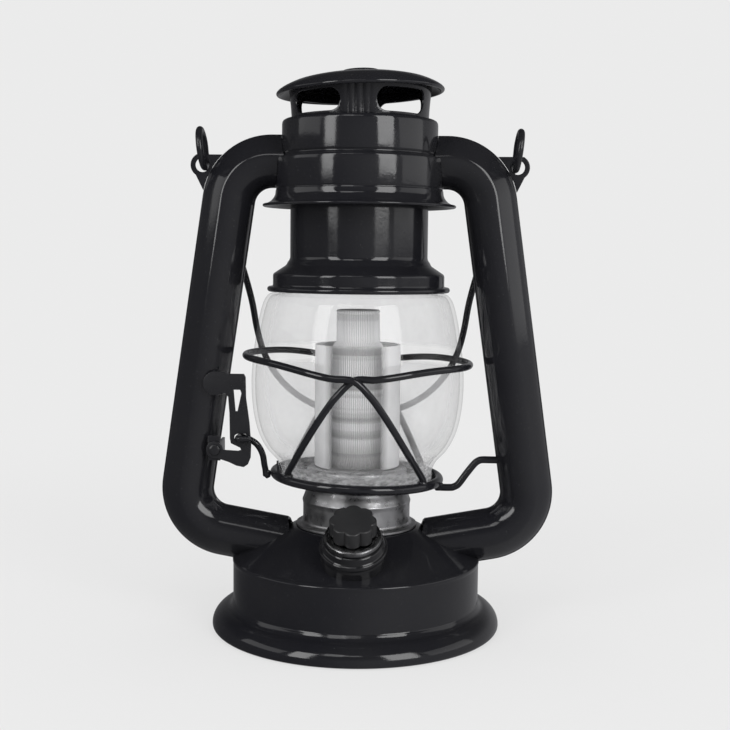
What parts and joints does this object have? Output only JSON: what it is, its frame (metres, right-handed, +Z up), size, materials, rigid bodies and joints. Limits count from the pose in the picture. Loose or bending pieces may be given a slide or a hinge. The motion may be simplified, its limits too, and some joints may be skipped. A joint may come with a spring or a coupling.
{
  "type": "battery barn lantern",
  "caption": "Battery lantern shaped like a tubular barn lantern: clear globe, wire guard, side air tubes, vented hood, swinging bail, dimmer knob and globe lift.",
  "frame": {"origin": "centre of the plane that the foot's rim rests on", "axes": "+Z up along the chimney's axis, -Y towards the dimmer knob at the front, -X towards the side with the lift lever"},
  "size_m": [0.1632, 0.1198, 0.2295],
  "materials": {
    "black_enamel": "gloss black enamel",
    "galvanised_steel": "dull grey plated sheet",
    "plated_steel": "satin plated",
    "contact_metal": "plated spring steel",
    "black_plastic": "matte black moulding",
    "cell_jacket": "printed film jacket, left plain",
    "clear_globe": "clear, slightly smoky",
    "clear_lens": "clear ribbed moulding",
    "frosted_sleeve": "smooth clear grey tube",
    "post_board": "white solder mask",
    "driver_board": "green solder mask",
    "led_lens": "yellow phosphor lens",
    "red_lead": "soft insulation",
    "black_lead": "soft insulation"
  },
  "bodies": {
    "lantern": {"base_shell": "black_enamel", "lever_bracket": "black_enamel", "tube_left_front": "black_enamel", "tube_left_back": "black_enamel", "tube_right_front": "black_enamel", "tube_right_back": "black_enamel", "ear_left": "black_enamel", "ear_right": "black_enamel", "hood": "black_enamel", "crown": "black_enamel", "cap": "black_enamel", "cap_disc": "black_enamel", "burner_shell": "galvanised_steel", "dimmer_bezel": "plated_steel", "lever_pin": "plated_steel", "door_hinge_pin": "plated_steel", "contact_spring_1": "contact_metal", "contact_spring_2": "contact_metal", "contact_spring_3": "contact_metal", "contact_spring_4": "contact_metal", "contact_plate_1": "contact_metal", "contact_plate_2": "contact_metal", "contact_plate_3": "contact_metal", "contact_plate_4": "contact_metal", "contact_plate_5": "contact_metal", "dimmer_boss": "black_plastic", "dimmer_control": "black_plastic", "battery_tray": "black_plastic", "cell_1": "cell_jacket", "cell_2": "cell_jacket", "cell_3": "cell_jacket", "cell_4": "cell_jacket", "light_lens": "clear_lens", "light_sleeve": "frosted_sleeve", "light_post": "post_board", "driver_board": "driver_board", "led_01": "led_lens", "led_02": "led_lens", "led_03": "led_lens", "led_04": "led_lens", "led_05": "led_lens", "led_06": "led_lens", "led_07": "led_lens", "led_08": "led_lens", "led_09": "led_lens", "lamp_lead_plus": "red_lead", "lamp_lead_minus": "black_lead"},
    "dimmer": {"dimmer_knob": "black_plastic", "dimmer_shaft": "plated_steel"},
    "door": {"battery_door": "black_plastic"},
    "globe_carrier": {"globe": "clear_globe", "chimney": "black_enamel", "globe_plate": "black_enamel", "guard_wire_inner": "black_enamel", "guard_wire_outer": "black_enamel", "lift_rod_left": "black_enamel", "lift_rod_right": "black_enamel"},
    "lever": {"lift_lever": "black_enamel"},
    "handle": {"bail": "black_enamel"}
  },
  "joints": [
    {"name": "handle_swing", "type": "hinge", "parent": "lantern", "child": "handle", "pos_m": [0, 0, 0.1973], "axis": [1, 0, 0], "range_deg": [0, 220]},
    {"name": "dimmer_turn", "type": "hinge", "parent": "lantern", "child": "dimmer", "pos_m": [0, -0.04256, 0.04791], "axis": [0, -0.4695, 0.8829], "range_deg": [0, 280]},
    {"name": "door_open", "type": "hinge", "parent": "lantern", "child": "door", "pos_m": [0, 0.0316, 0.0038], "axis": [1, 0, 0], "range_deg": [0, 100]},
    {"name": "globe_lift", "type": "slide", "parent": "lantern", "child": "globe_carrier", "axis": [0, 0, 1], "range_m": [0, 0.00385]},
    {"name": "lever_turn", "type": "hinge", "parent": "lantern", "child": "lever", "pos_m": [-0.0579, -0.0119, 0.0746], "axis": [0, -1, 0], "range_deg": [0, 20.1]}
  ],
  "couplings": [
    {"joint": "lever_turn", "follows": "globe_lift", "rad_per_m": 90.666}
  ]
}
